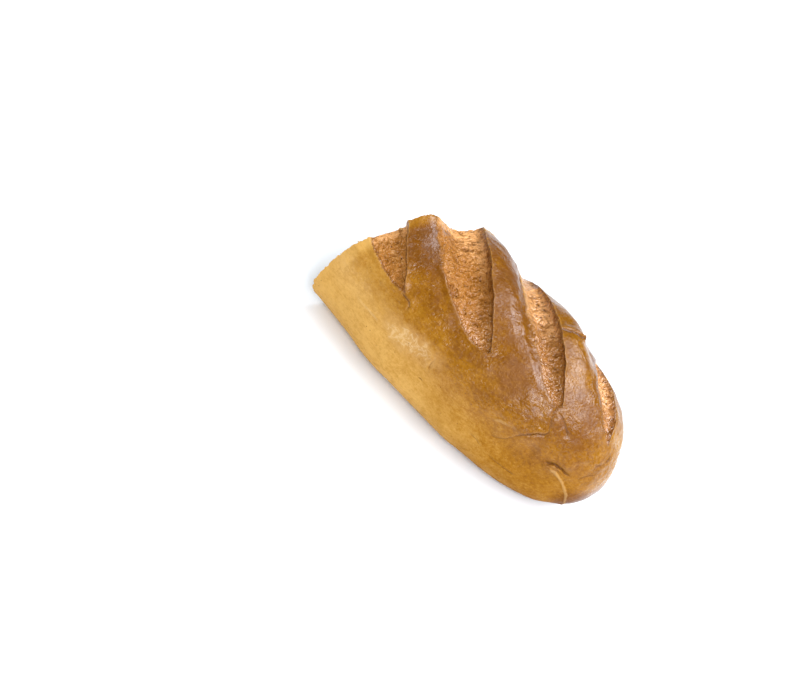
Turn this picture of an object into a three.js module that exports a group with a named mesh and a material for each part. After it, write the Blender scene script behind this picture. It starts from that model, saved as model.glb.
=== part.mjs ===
// Half of a long white loaf, cut across its middle: one solid piece of bread that lies on its flat underside.
// X runs along the loaf from the cut face to the baked heel, Y across it and Z up. Sizes are in millimetres.
import * as THREE from "three";

const { clamp, smoothstep, degToRad, lerp } = THREE.MathUtils;

// The loaf's body, before it was slashed
const LENGTH = 147.5; // from the middle of the whole loaf to the tip of the heel
const WIDTH = 94;
const CROWN_HEIGHT = 70;
const WAIST_HEIGHT = 20.5; // where the loaf is widest
const SOLE_TRIM = 4; // how much of the round underside the oven's floor pressed flat
const CROWN_ROUNDNESS = 1.92; // exponents of the cross-section: 2 is an ellipse, more is squarer
const FLANK_ROUNDNESS = 2.35;
const CUT_PINCH = 1.4; // each side is this much narrower at the cut
const CUT_PINCH_REACH = 55;

// How the body closes into its heel: where each outline starts to fall, and the shape of that fall
const PLAN_START = 26;
const CROWN_START = 75;
const UNDERSIDE_START = 106;
const HEEL_FALL = 2.2;
const HEEL_BLUNTNESS = 2.1;
const HEEL_DRIFT = 5.5; // the heel's tip lies this far to the +Y side

// The knife went through at a slant
const CUT_SHIFT = 6.2; // along X, from the middle of the whole loaf to the middle of the cut
const CUT_SLANT = 22.3; // along X, over half the width
const CUT_LEAN = -0.8; // along X, from the waist to the crown

// Four slashes run slantwise over the crown. Each opened in the oven into a torn valley. On the heel's side the
// valley has a wall under a sharp lip, and on the other side its floor climbs to an edge and rolls into the crown.
// tip: the end of the slash on the -Y side. wall and edge: the valley's depth there, as shares of its full depth.
const SLASHES = [
  {
    tip: [23.2, -35.3], heading: 39, length: 99, bow: 3.2, gape: 19.6, taper: 0.82,
    depth: 3.9, wall: 0.48, edge: 0.42, swell: 6.6,
  },
  {
    tip: [71.3, -25.1], heading: 40, length: 150, bow: 1, gape: 28.5, taper: 0.57,
    depth: 7.2, wall: 0.84, edge: 0.17, swell: 1.4,
  },
  {
    tip: [111, -12.5], heading: 37, length: 89, bow: -0.3, gape: 15, taper: 0.4,
    depth: 7, wall: 0.6, edge: 0.4, swell: 4,
  },
  {
    tip: [136.3, 3.4], heading: 40, length: 48, bow: -3.2, gape: 10.5, taper: 0.63,
    depth: 4.5, wall: 0.6, edge: 0.4, swell: 2,
  },
];
const LIP_RISE = 0.9; // the lip curls up above the crown
const LIP_REACH = 2.5;
const WALL_THICKNESS = 1;
const DEEPEST_SHARE = 0.45; // of the gape, from the lip
const SHOULDER_SHARE = 0.4; // of the gape: the width of the roll into the crown
const DEPTH_FULLNESS = 0.6; // under 1 keeps a valley deep towards its ends
const SWELL_REACH = 24; // the crown swells into a round ridge beyond each lip
const SWELL_START = 4;

// The mesh: rings from the cut to the heel, and columns that wind round the loaf as the slashes do
const RINGS = 64;
const COLUMNS = 74;
const RING_CROWDING = 1.4; // more than 1 crowds the rings towards the heel
const COLUMN_CROWDING = 0.35; // crowds the columns over the crown
const COLUMN_TWIST = 3.5; // radians from the cut to the heel
const STEP = 1e-4;

const ringX = (u) => LENGTH * (1 - (1 - u) ** RING_CROWDING);

// How much of its full size an outline keeps at x, from where it starts to fall to the heel's tip.
function heelFall(x, start) {
  const t = clamp((x - start) / (LENGTH - start), 0, 1);
  return Math.max(1 - t ** HEEL_FALL, 1e-8) ** (1 / HEEL_BLUNTNESS);
}

// How far along X the knife's plane lies at a point across the loaf.
function cutX(y, z) {
  const lean = (CUT_LEAN * (z - WAIST_HEIGHT)) / (CROWN_HEIGHT - WAIST_HEIGHT);
  return CUT_SHIFT + (CUT_SLANT * y) / (WIDTH / 2) + lean;
}

// A point on the unslashed loaf: u goes from 0 at the cut to 1 at the heel, and angle from 0 on the +Y side, up
// over the crown and round.
function bodyPoint(u, angle) {
  const x = ringX(u);
  const overCrown = Math.sin(angle) >= 0;
  const halfWidth = WIDTH / 2 - CUT_PINCH * (1 - smoothstep(x, 0, CUT_PINCH_REACH));
  const crown = (CROWN_HEIGHT - WAIST_HEIGHT) * heelFall(x, CROWN_START);
  const underside = (WAIST_HEIGHT + SOLE_TRIM) * heelFall(x, UNDERSIDE_START);
  const halfHeight = overCrown ? crown : underside;
  const roundness = overCrown ? CROWN_ROUNDNESS : FLANK_ROUNDNESS;
  const across = Math.abs(Math.cos(angle)) / (halfWidth * heelFall(x, PLAN_START));
  const upright = Math.abs(Math.sin(angle)) / halfHeight;
  const radius = (across ** roundness + upright ** roundness) ** (-1 / roundness);
  const y = radius * Math.cos(angle);
  const z = WAIST_HEIGHT + radius * Math.sin(angle);
  const alongShare = x / LENGTH;
  return new THREE.Vector3(x + (1 - alongShare) * cutX(y, z), y + HEEL_DRIFT * alongShare ** 2, z);
}

function bodyNormal(u, angle) {
  const here = bodyPoint(u, angle);
  const along = bodyPoint(u + STEP, angle).sub(here);
  const around = bodyPoint(u, angle + STEP).sub(here);
  return around.cross(along).normalize();
}

// Where a point lies on a slash: its share of the length from the tip, and its distance from the lip, which is
// positive in the valley. The belly is 1 in the middle of the length and 0 at both ends.
function placeOnSlash(point, slash) {
  const heading = degToRad(slash.heading);
  const dx = point.x - slash.tip[0];
  const dy = point.y - slash.tip[1];
  const share = (dy * Math.sin(heading) - dx * Math.cos(heading)) / slash.length;
  const onIt = share > 0 && share < 1;
  const belly = onIt ? Math.sin(Math.PI * share) : 0;
  const fromLip = -dx * Math.sin(heading) - dy * Math.cos(heading) - slash.bow * belly;
  return { onIt, belly, fromLip };
}

// The raised crown on the heel's side of a lip.
function ridgeRelief(belly, fromLip, slash) {
  const across = clamp((SWELL_START - fromLip) / SWELL_REACH, 0, 1);
  const curl = LIP_RISE * belly * Math.exp(-((fromLip / LIP_REACH) ** 2));
  return curl + slash.swell * (belly * Math.sin(Math.PI * across)) ** 2;
}

// The torn floor of a valley, from the foot of its wall to its shoulder.
function floorRelief(belly, fromLip, slash) {
  const gape = Math.max(slash.gape * belly ** slash.taper, 1e-6);
  const across = fromLip / gape;
  const bowl = lerp(slash.wall, 1, smoothstep(across, 0, DEEPEST_SHARE));
  const climb = (1 - slash.edge) * smoothstep(across, DEEPEST_SHARE, 1);
  const shoulder = 1 - smoothstep(across, 1, 1 + SHOULDER_SHARE);
  return -slash.depth * belly ** DEPTH_FULLNESS * smoothstep(gape, 0, 3) * (bowl - climb) * shoulder;
}

// How far one slash moves the surface outwards at a point.
function slashRelief(point, slash) {
  const { onIt, belly, fromLip } = placeOnSlash(point, slash);
  if (!onIt) return 0;
  if (fromLip < 0) return ridgeRelief(belly, fromLip, slash);
  const wall = smoothstep(fromLip, 0, WALL_THICKNESS);
  return lerp(ridgeRelief(belly, 0, slash), floorRelief(belly, fromLip, slash), wall);
}

// A point on the finished loaf, and its relief. Slashes are only in the crown, and the sole is flat.
function loafVertex(u, angle) {
  const point = bodyPoint(u, angle);
  const normal = bodyNormal(u, angle);
  const slashed = SLASHES.reduce((sum, slash) => sum + slashRelief(point, slash), 0);
  const relief = slashed * smoothstep(normal.z, 0, 0.25);
  point.addScaledVector(normal, relief);
  point.z = Math.max(point.z, 0);
  if (u === 0) point.x = cutX(point.y, point.z);
  return { point, relief };
}

// The columns' angles on one ring. Where two columns lie on either side of a lip, the nearer one moves onto it.
function ringAngles(u) {
  const even = Array.from({ length: COLUMNS + 1 }, (_, column) => {
    const angle = (2 * Math.PI * column) / COLUMNS + (COLUMN_TWIST * ringX(u)) / LENGTH;
    return angle + COLUMN_CROWDING * Math.cos(angle);
  });
  const angles = even.slice(0, COLUMNS);
  for (const slash of SLASHES) {
    const places = even.map((angle) => placeOnSlash(bodyPoint(u, angle), slash));
    for (let column = 0; column < COLUMNS; column++) {
      const [here, next] = [places[column], places[column + 1]];
      if (!here.onIt || !next.onIt || here.fromLip >= 0 || next.fromLip <= 0) continue;
      const share = here.fromLip / (here.fromLip - next.fromLip);
      const onLip = lerp(even[column], even[column + 1], share);
      if (share < 0.5) angles[column] = onLip;
      else if (column + 1 < COLUMNS) angles[column + 1] = onLip;
      else angles[0] = onLip - 2 * Math.PI;
    }
  }
  return angles;
}

function halfLoafGeometry() {
  const vertices = [];
  for (let ring = 0; ring < RINGS; ring++)
    for (const angle of ringAngles(ring / RINGS)) vertices.push(loafVertex(ring / RINGS, angle));
  const points = vertices.map((vertex) => vertex.point);
  const heel = points.push(new THREE.Vector3(LENGTH, HEEL_DRIFT, WAIST_HEIGHT)) - 1;

  // each quad is split between the two corners whose relief is most alike, so that the fold follows a lip
  const step = (i, j) => Math.abs(vertices[i].relief - vertices[j].relief);
  const faces = [];
  for (let ring = 0; ring < RINGS - 1; ring++)
    for (let column = 0; column < COLUMNS; column++) {
      const a = ring * COLUMNS + column;
      const b = ring * COLUMNS + ((column + 1) % COLUMNS);
      const [c, d] = [a + COLUMNS, b + COLUMNS];
      if (step(a, d) < step(b, c)) faces.push(a, b, d, a, d, c);
      else faces.push(a, b, c, b, d, c);
    }
  const lastRing = (RINGS - 1) * COLUMNS;
  for (let column = 0; column < COLUMNS; column++)
    faces.push(lastRing + column, lastRing + ((column + 1) % COLUMNS), heel);

  // the cut face closes the first ring
  const rim = points.slice(0, COLUMNS).map((point) => new THREE.Vector2(point.y, point.z));
  for (const [a, b, c] of THREE.ShapeUtils.triangulateShape(rim, [])) faces.push(a, c, b);

  return new THREE.BufferGeometry().setFromPoints(points).setIndex(faces);
}

// Stands a geometry on Z = 0 with the middle of its box on the Z axis.
function standOnOrigin(geometry) {
  geometry.computeBoundingBox();
  const { min, max } = geometry.boundingBox;
  geometry.translate(-(min.x + max.x) / 2, -(min.y + max.y) / 2, -min.z);
  return geometry;
}

const bakedCrust = new THREE.MeshStandardMaterial({ color: "#b97d34", roughness: 0.5, metalness: 0 });
const halfLoaf = new THREE.Mesh(standOnOrigin(halfLoafGeometry()), bakedCrust);
halfLoaf.name = "half_loaf";

const part = new THREE.Group();
part.add(halfLoaf);

export default part;
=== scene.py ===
"""Half of a long white loaf, cut across its middle: its baked crust, the crumb that fills it, and the
loose crumbs that cling to the cut. Sizes in the sections are in millimetres, in the loaf's own frame: X from
the middle of the whole loaf to the heel, Y across, Z up from the oven's floor. Meshes are in metres."""
import math

import bmesh
import bpy
import numpy as np
from mathutils import Matrix, Vector, noise


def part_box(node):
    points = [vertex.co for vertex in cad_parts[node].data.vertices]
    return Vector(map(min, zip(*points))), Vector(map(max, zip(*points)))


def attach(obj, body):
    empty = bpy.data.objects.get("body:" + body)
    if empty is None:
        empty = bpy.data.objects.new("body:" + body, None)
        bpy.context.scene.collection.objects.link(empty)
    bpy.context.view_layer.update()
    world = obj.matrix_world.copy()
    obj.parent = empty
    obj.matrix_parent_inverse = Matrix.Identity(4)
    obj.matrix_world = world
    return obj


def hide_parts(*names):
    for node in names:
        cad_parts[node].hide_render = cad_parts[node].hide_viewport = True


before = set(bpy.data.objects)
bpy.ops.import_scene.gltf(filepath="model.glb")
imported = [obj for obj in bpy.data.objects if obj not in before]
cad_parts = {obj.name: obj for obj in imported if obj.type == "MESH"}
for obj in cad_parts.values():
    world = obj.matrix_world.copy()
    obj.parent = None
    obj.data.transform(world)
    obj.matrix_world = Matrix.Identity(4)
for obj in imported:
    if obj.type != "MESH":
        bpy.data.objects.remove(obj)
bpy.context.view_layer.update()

# --------------------------------------------------------------------------------------------------
# The crust: the shape of the loaf.
# A length of proved wheat dough, rounded at the heel and pressed flat underneath by the oven's floor. Four
# slanting slashes opened in the oven. Each has a lip on the heel's side and a torn floor, which climbs to a
# second edge.
# --------------------------------------------------------------------------------------------------
LENGTH = 147.5
WIDTH = 94
CROWN_HEIGHT = 70
WAIST_HEIGHT = 20.5  # where the loaf is widest
SOLE_TRIM = 4  # how much of the round underside the oven's floor pressed flat
CROWN_ROUNDNESS = 1.92  # exponents of the cross-section: 2 is an ellipse, more is squarer
FLANK_ROUNDNESS = 2.35
CUT_PINCH = 1.4  # each side is this much narrower at the cut
CUT_PINCH_REACH = 55

# how the body closes into its heel: where each outline starts to fall, and the shape of that fall
PLAN_START = 26
CROWN_START = 75
UNDERSIDE_START = 106
HEEL_FALL = 2.2
HEEL_BLUNTNESS = 2.1
HEEL_DRIFT = 5.5  # the heel's tip lies this far to the +Y side

# the knife went through at a slant: each of these is along X
CUT_SHIFT = 6.2  # from the middle of the whole loaf to the middle of the cut
CUT_SLANT = 22.3  # over half the width
CUT_LEAN = -0.8  # from the waist to the crown

# The valley that each slash opened. tip: its end on the -Y side. heading: in degrees. bow: how far the lip
# bends. gape: the valley's width, which tapers to its ends. wall and edge: its depth at either side, as
# shares of its full depth. swell: how far the ridge beyond the lip stands up. overhang: how far the lip hangs
# over. skin: how thick the torn edge opposite the lip is. torn_to: how far along the slash that edge is torn.
# Further on the dough only stretched, and its skin rolls softly in. roll: how far the skin sinks there.
# wall_fades: how much of the wall's height is lost towards the far end. ridge_baked: how much browner the
# ridge is than the crown, or paler where it is negative; the third ridge's paleness is partly its tone and
# partly painted sheen.
SLASHES = [
    {"tip": (23.2, -35.3), "heading": 39, "length": 99, "bow": 3.2, "gape": 19.6, "taper": 0.82,
     "depth": 3.9, "wall": 0.48, "edge": 0.42, "swell": 6.6, "overhang": 0.3, "skin": 1.0, "torn_to": 99,
     "wall_fades": 0, "roll": 0, "ridge_baked": 0.4},
    {"tip": (71.3, -25.1), "heading": 40, "length": 150, "bow": 1, "gape": 28.5, "taper": 0.57,
     "depth": 7.2, "wall": 0.84, "edge": 0.17, "swell": 1.4, "overhang": 1.0, "skin": 0.9, "torn_to": 38,
     "wall_fades": 0.55, "roll": 1.0, "ridge_baked": 0.05},
    {"tip": (111, -12.5), "heading": 37, "length": 89, "bow": -0.3, "gape": 15, "taper": 0.4,
     "depth": 7, "wall": 0.6, "edge": 0.4, "swell": 4, "overhang": 1.3, "skin": 0.8, "torn_to": 20,
     "wall_fades": 0.5, "roll": 1.5, "ridge_baked": -0.15},
    {"tip": (136.3, 3.4), "heading": 40, "length": 48, "bow": -3.2, "gape": 10.5, "taper": 0.63,
     "depth": 4.5, "wall": 0.6, "edge": 0.4, "swell": 2, "overhang": 0.8, "skin": 0.5, "torn_to": 48,
     "wall_fades": 0, "roll": 0.4, "ridge_baked": 0},
]
LIP_RISE = 0.9  # the lip curls up above the crown
LIP_REACH = 2.5
LIP_HANG_REACH = 1.6
WALL_THICKNESS = 1
DEEPEST_SHARE = 0.45  # of the gape, from the lip
SHOULDER_SHARE = 0.4  # of the gape: the width of the roll into the crown
ROLL_CENTRE = 1.25  # in gapes, from the lip
ROLL_WIDTH = 6
DEPTH_FULLNESS = 0.6  # under 1 keeps a valley deep towards its ends
SWELL_REACH = 24  # the crown swells into a round ridge beyond each lip
SWELL_START = 4

# the mesh: rings from the cut to the heel, and columns that wind round the loaf as the slashes do
RINGS = 290
RING_CROWDING = 2.1  # over 1 samples the outline more finely towards the heel
COLUMNS = 328
COLUMN_CROWDING = 0.42  # crowds the columns over the crown
COLUMN_TWIST = 3.5  # radians from the cut to the heel


def smooth(value, low, high):
    """0 below low, 1 above high, and an even curve between them."""
    share = np.clip((value - low) / (high - low), 0, 1)
    return share * share * (3 - 2 * share)


def heel_fall(x, start):
    """How much of its full size an outline keeps at x, from where it starts to fall to the heel's tip."""
    share = np.clip((x - start) / (LENGTH - start), 0, 1)
    return np.maximum(1 - share**HEEL_FALL, 1e-8) ** (1 / HEEL_BLUNTNESS)


def cut_x(y, z):
    """How far along X the knife's plane lies."""
    lean = CUT_LEAN * (z - WAIST_HEIGHT) / (CROWN_HEIGHT - WAIST_HEIGHT)
    return CUT_SHIFT + CUT_SLANT * y / (WIDTH / 2) + lean


def body_points(x, angle):
    """Points on the loaf before it was slashed: angle goes from the +Y side over the crown and round."""
    over_crown = np.sin(angle) >= 0
    half_width = (WIDTH / 2 - CUT_PINCH * (1 - smooth(x, 0, CUT_PINCH_REACH))) * heel_fall(x, PLAN_START)
    crown = (CROWN_HEIGHT - WAIST_HEIGHT) * heel_fall(x, CROWN_START)
    underside = (WAIST_HEIGHT + SOLE_TRIM) * heel_fall(x, UNDERSIDE_START)
    half_height = np.where(over_crown, crown, underside)
    roundness = np.where(over_crown, CROWN_ROUNDNESS, FLANK_ROUNDNESS)
    across = np.abs(np.cos(angle)) / half_width
    upright = np.abs(np.sin(angle)) / half_height
    radius = (across**roundness + upright**roundness) ** (-1 / roundness)
    y = radius * np.cos(angle)
    z = WAIST_HEIGHT + radius * np.sin(angle)
    along_share = x / LENGTH
    return np.stack([x + (1 - along_share) * cut_x(y, z), y + HEEL_DRIFT * along_share**2, z], -1)


def place_on_slash(points, slash):
    """Where points lie on a slash: whether they are beside it, how far along it, its belly there, which is 1
    in the middle of its length and 0 at its ends, and their distance from its lip, positive in the valley."""
    heading = math.radians(slash["heading"])
    dx = points[..., 0] - slash["tip"][0]
    dy = points[..., 1] - slash["tip"][1]
    along = dy * math.sin(heading) - dx * math.cos(heading)
    share = along / slash["length"]
    on_it = (share > 0) & (share < 1)
    belly = np.where(on_it, np.sin(np.pi * share), 0)
    from_lip = -dx * math.sin(heading) - dy * math.cos(heading) - slash["bow"] * belly
    # the blade's cut wanders a little
    wander = 0.3 * np.sin(along / 3.1 + slash["length"]) + 0.2 * np.sin(along / 1.3)
    wander += 0.1 * np.sin(along / 0.57)
    return on_it, along, belly, from_lip + wander * np.sqrt(belly)


def slash_form(points, slash):
    """How far one slash moves the surface outwards, and how far its lip hangs over the valley. Then how deep
    in the tear a point lies and how far past the nearest edge of the skin, both negative outside, and how
    crisp that edge is. Last, how much browner than the crown the ridge is there."""
    on_it, along, belly, from_lip = place_on_slash(points, slash)
    gape = np.maximum(slash["gape"] * belly ** slash["taper"], 1e-6)
    across = from_lip / gape

    swell = (belly * np.sin(np.pi * np.clip((SWELL_START - from_lip) / SWELL_REACH, 0, 1))) ** 2
    curl = LIP_RISE * belly * np.exp(-((from_lip / LIP_REACH) ** 2))
    ridge = curl + slash["swell"] * swell
    lip_swell = (belly * math.sin(math.pi * SWELL_START / SWELL_REACH)) ** 2
    lip_height = LIP_RISE * belly + slash["swell"] * lip_swell

    wall_share = slash["wall"] * (1 - slash["wall_fades"] * smooth(along, 30, 85))
    bowl = wall_share + (1 - wall_share) * smooth(across, 0, DEEPEST_SHARE)
    climb = (1 - slash["edge"]) * smooth(across, DEEPEST_SHARE, 1)
    shoulder = 1 - smooth(across, 1, 1 + SHOULDER_SHARE)
    open_share = smooth(gape, 0, 3)
    floor = -slash["depth"] * belly**DEPTH_FULLNESS * open_share * (bowl - climb) * shoulder
    floor = floor - slash["roll"] * belly * np.exp(-(((across - ROLL_CENTRE) * gape / ROLL_WIDTH) ** 2))

    # where the skin tore, it ends in a thin raised edge above the floor, and that edge wavers
    past_edge = from_lip - gape + 0.25 * np.sin(along / 2.7 + 1) + 0.15 * np.sin(along / 1.1)
    stretched = smooth(along, slash["torn_to"] - 4, slash["torn_to"] + 12)
    edge_step = slash["skin"] * open_share * (1 - stretched)
    floor = floor - edge_step * smooth(-past_edge, -0.3, 0.5)
    floor = floor + 0.4 * edge_step * np.exp(-(((past_edge - 0.6) / 1.4) ** 2))
    tear = np.minimum(from_lip, -past_edge / (1 + 6 * stretched))
    by_lip = np.abs(from_lip) < np.abs(past_edge)
    edge = np.where(by_lip, from_lip, -past_edge)
    crisp = np.where(by_lip, 1, 0.8 * (1 - stretched))

    wall = smooth(from_lip, 0, WALL_THICKNESS)
    relief = np.where(from_lip < 0, ridge, lip_height * (1 - wall) + floor * wall)
    overhang = slash["overhang"] * np.sqrt(belly) * np.where(
        from_lip < 0, np.exp(-((from_lip / LIP_HANG_REACH) ** 2)), 1 - smooth(from_lip, 0, 0.5)
    )
    tear = np.where(on_it, tear, -np.inf)
    edge = np.where(on_it, edge, -np.inf)
    browner = slash["ridge_baked"] * smooth(swell, 0, 0.12) * (from_lip < 0)
    return relief * on_it, overhang * on_it, tear, edge, crisp, browner * on_it


# the rings are evenly spaced along the loaf's outline as seen from above
outline_x = LENGTH * (1 - np.linspace(1, 0, 4000) ** RING_CROWDING)
outline_y = WIDTH / 2 * heel_fall(outline_x, PLAN_START)
walked = np.append(0, np.cumsum(np.hypot(np.diff(outline_x), np.diff(outline_y))))
ring_x = np.interp(np.linspace(0, walked[-1], RINGS + 1), walked, outline_x)[:, None]

# the columns wind round the loaf as the slashes do, and the nearer of two columns beside a lip moves onto it
even_angle = 2 * np.pi * np.arange(COLUMNS + 1) / COLUMNS + COLUMN_TWIST * ring_x / LENGTH
even_angle = even_angle + COLUMN_CROWDING * np.cos(even_angle)
angle = even_angle[:, :-1].copy()
even_points = body_points(ring_x, even_angle)
for slash in SLASHES:
    on_it, _, _, from_lip = place_on_slash(even_points, slash)
    astride = on_it[:, :-1] & on_it[:, 1:] & (from_lip[:, :-1] < 0) & (from_lip[:, 1:] > 0)
    rows, columns = np.nonzero(astride)
    before, after = from_lip[rows, columns], from_lip[rows, columns + 1]
    share = before / (before - after)
    on_lip = even_angle[rows, columns] * (1 - share) + even_angle[rows, columns + 1] * share
    nearer = columns + (share > 0.5)
    angle[rows, nearer % COLUMNS] = on_lip - 2 * np.pi * (nearer == COLUMNS)

skin = body_points(ring_x, angle)
around = np.roll(skin, -1, 1) - np.roll(skin, 1, 1)
normal = np.cross(around, np.gradient(skin, axis=0))
normal /= np.maximum(np.linalg.norm(normal, axis=-1, keepdims=True), 1e-9)
skin[-1] = LENGTH, HEEL_DRIFT, WAIST_HEIGHT
normal[-1] = 1, 0, 0

FAR = 4.0  # this far from a tear, an edge or a crease, the skin no longer shows it
relief = np.zeros(angle.shape)
tear = np.full(angle.shape, -FAR)
edge = np.full(angle.shape, -FAR)
crisp = np.zeros(angle.shape)
browner = np.zeros(angle.shape)
hang = np.zeros(skin.shape)
in_crown = smooth(normal[..., 2], 0, 0.25)
from_cut = skin[..., 0] - cut_x(skin[..., 1], skin[..., 2])
for slash in SLASHES:
    moved, overhang, tear_here, edge_here, crisp_here, browner_here = slash_form(skin, slash)
    relief += moved * in_crown
    heading = math.radians(slash["heading"])
    valley_side = np.array([-math.sin(heading), -math.cos(heading), 0])
    # beside the cut no lip hangs over, so that the knife's plane stays clean
    hang += (overhang * in_crown * smooth(from_cut, 0.5, 6))[..., None] * valley_side
    tear = np.maximum(tear, np.where(in_crown > 0.5, tear_here, -FAR))
    nearer = (np.abs(edge_here) < np.abs(edge)) & (in_crown > 0.5)
    edge[nearer] = edge_here[nearer]
    crisp[nearer] = crisp_here[nearer]
    browner += browner_here
plain_loaf = skin + normal * relief[..., None]
skin = plain_loaf + hang

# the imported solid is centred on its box, so the loaf's own frame is moved there by the same amount
plain_loaf[..., 2] = np.maximum(plain_loaf[..., 2], 0)
low, high = plain_loaf.min((0, 1)), plain_loaf.max((0, 1))
cad_low, cad_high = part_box("half_loaf")
TO_FRAME = 1000 * (np.array(cad_low) + np.array(cad_high)) / 2 - (low + high) / 2
TO_FRAME[2] = 0

# --------------------------------------------------------------------------------------------------
# The crust: its skin.
# Dough is never even. It swells in soft lumps, and the torn floors are webs of stretched gluten with holes in
# them. The skin folds, cracks and blisters round the heel, where the dough was sealed. The sole is dimpled.
# --------------------------------------------------------------------------------------------------
# Folds, cracks and seams. Each point has a strength after its X, Y and Z. step: how far the left side rises
# over the right, or the right over the left where it is negative. groove: the line's depth, or its height
# where it is negative.
LINES = [
    # the fold that hangs from the third slash's tip
    {"line": [(107.6, -13.2, 59.2, 0.9), (109.6, -14.6, 58.3, 0.7), (110.5, -17.3, 55.4, 0.4),
              (113.8, -19.3, 51.2, 0.5), (115.5, -20.1, 49, 0.7), (115.1, -21.5, 47.2, 0.9),
              (112.4, -23.7, 45.8, 1), (110.1, -25.9, 43.5, 1), (108.1, -27.6, 41.6, 0.8),
              (106.9, -28.9, 39.7, 0.4), (104.6, -31.1, 35.8, 0.5), (100.9, -33.1, 32.8, 0.5),
              (97.6, -34.4, 32.1, 0.3)],
     "step": -0.7, "groove": 0.7},
    {"line": [(93.3, -33.6, 39, 0.6), (96.7, -31.7, 41.4, 1), (102.2, -29.3, 42.8, 0.6),
              (107.3, -27.6, 42.4, 0.6)],
     "step": 0, "groove": -0.35},
    {"line": [(110.6, -14.6, 57.8, 0.4), (114.1, -14.3, 56.3, 0.5), (117.8, -14, 54.4, 0.6),
              (120.8, -14.1, 52.2, 0.8), (122.4, -14.4, 50.6, 0.4)],
     "step": 0.4, "groove": 0.45},
    # the crack in the heel, and the seam where the dough was pinched shut
    {"line": [(123.6, -22.2, 36.6, 0.6), (125.1, -21.4, 36.3, 1), (127.5, -19.5, 37.2, 1),
              (131.1, -17.1, 36.5, 1), (133.9, -15.5, 34.7, 0.8), (136, -13.5, 34.9, 0.5)],
     "step": -0.9, "groove": 1.1},
    {"line": [(125.9, -21.4, 34.9, 0.7), (129.6, -19, 34.3, 1), (133.4, -16.9, 31.8, 1),
              (137.2, -14.6, 27.4, 0.9), (140, -12.4, 22.8, 1), (142, -9.4, 14.3, 1),
              (141.6, -8, 6, 0.8)],
     "step": -0.3, "groove": -0.7},
    # wrinkles round the heel's tip
    {"line": [(137.5, -12.8, 32.9, 0.6), (140.4, -7.9, 35.5, 0.7), (142.4, -3.2, 36.9, 0.6),
              (143.7, 2, 37.6, 0.3)],
     "step": -0.4, "groove": 0.5},
    {"line": [(140.2, -6, 38.6, 0.5), (140.2, -3, 41.3, 0.8), (141.3, 1.2, 41.9, 0.5)],
     "step": 0.4, "groove": 0.5},
    {"line": [(141.3, 0.3, 41.8, 0.5), (140.8, 3.5, 43.2, 0.9), (139, 5.6, 46, 0.5)],
     "step": -0.5, "groove": 0.5},
    # creases along the near flank
    {"line": [(89.2, -37.8, 24.4, 0.4), (92.8, -36.8, 25.4, 0.7), (96.1, -36, 24.3, 0.7),
              (99.4, -35.1, 22.9, 0.5)],
     "step": 0.25, "groove": 0.4},
    {"line": [(102.6, -34, 21.5, 0.2), (104.6, -33.4, 21.1, 0.4), (108.7, -31.9, 20.4, 0.6),
              (112.5, -30.4, 20.2, 1), (115.8, -29, 20, 1), (118.5, -27.8, 19, 0.7)],
     "step": 0.4, "groove": 0.55},
    {"line": [(4.8, -43.9, 33.9, 0.3), (12.7, -44.1, 33.7, 0.6), (19.2, -44, 34.3, 1),
              (24.8, -44, 34.4, 0.8)],
     "step": 0.5, "groove": -0.5},
    {"line": [(54.7, -43.5, 29.2, 0.6), (57, -43.1, 29.8, 1), (59.4, -42.9, 29.4, 0.6)],
     "step": 0.2, "groove": 0.4},
    {"line": [(57, -42, 34.2, 0.6), (55.8, -40.4, 39.4, 0.9), (55.6, -38.8, 43.1, 0.4)],
     "step": 0.5, "groove": 0.35},
    # the first slash's tail
    {"line": [(21, -36.6, 50.8, 0.8), (23.6, -36, 50.6, 1), (27.1, -35.9, 50.4, 0.9),
              (28.9, -36.6, 49.5, 0.7), (29.5, -38.5, 46.7, 0.4)],
     "step": 0.5, "groove": 0.5},
    # a crack across the third ridge
    {"line": [(80.4, 9.6, 70.7, 0.8), (81.8, 10.4, 70.6, 1), (84.7, 13.6, 70.6, 1), (87.9, 15.7, 70.5, 1),
              (90.5, 18.4, 69, 1), (92.5, 21.6, 67, 0.6)],
     "step": 0.9, "groove": 0.9},
]
LINE_REACH = 12  # nothing beyond this is raised
FOLD_REACH = 3.5  # over which a line's raised side falls back to the skin
FOLD_WIDTH = 0.35
GROOVE_WIDTH = 0.75
GROOVE_SHADE = 1.6  # how dark the painted shade in a groove is, for each millimetre of its depth
SEAM_SHADE = 2.2  # how pale a raised line is, for each millimetre of its height

# soft swellings and, where the height is negative, dimples
SWELLINGS = [
    {"at": (18.6, -33.4, 52.6), "radius": 3.6, "height": 1.1},
    {"at": (101.6, -31.3, 38.6), "radius": 5.5, "height": 0.5},
    {"at": (116.3, -25.5, 38.1), "radius": 3.4, "height": -0.7},
    {"at": (121.4, -14.4, 51.4), "radius": 2.2, "height": -0.6},
    {"at": (113.8, -16.6, 53.6), "radius": 3, "height": 0.8},
    {"at": (127.6, -23, 32.2), "radius": 5, "height": 0.6},
    {"at": (131, -14.6, 39.6), "radius": 4, "height": 0.7},
    {"at": (90.5, 18.8, 69), "radius": 1.6, "height": 1.2},
]


def sample(field, points, size):
    """A noise field's value at each point: size is that of its features."""
    return np.array([field(Vector(point)) for point in points / size])


def waves(points, *layers):
    """A sum of even noise: each layer has its height and the size of its features."""
    return sum(height * sample(noise.noise, points, size) for height, size in layers)


def dice(points):
    """A fixed number from 0 to 1 for each point, with no order to it."""
    return (np.sin(points @ np.array([12.9898, 78.233, 37.719])) * 43758.5453) % 1


def bubbles(points, size, share):
    """How deep points lie in round bubbles, from 0 to 1: size is that of a bubble's cell, and share says how
    many cells hold one."""
    found = [noise.voronoi(Vector(point)) for point in points / size]
    distance = np.array([distances[0] for distances, _ in found])
    chance = dice(np.array([centres[0] for _, centres in found]))
    radius = 0.25 + 0.4 * (chance / share)
    return (1 - smooth(distance, 0.35 * radius, radius)) * (chance < share)


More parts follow.
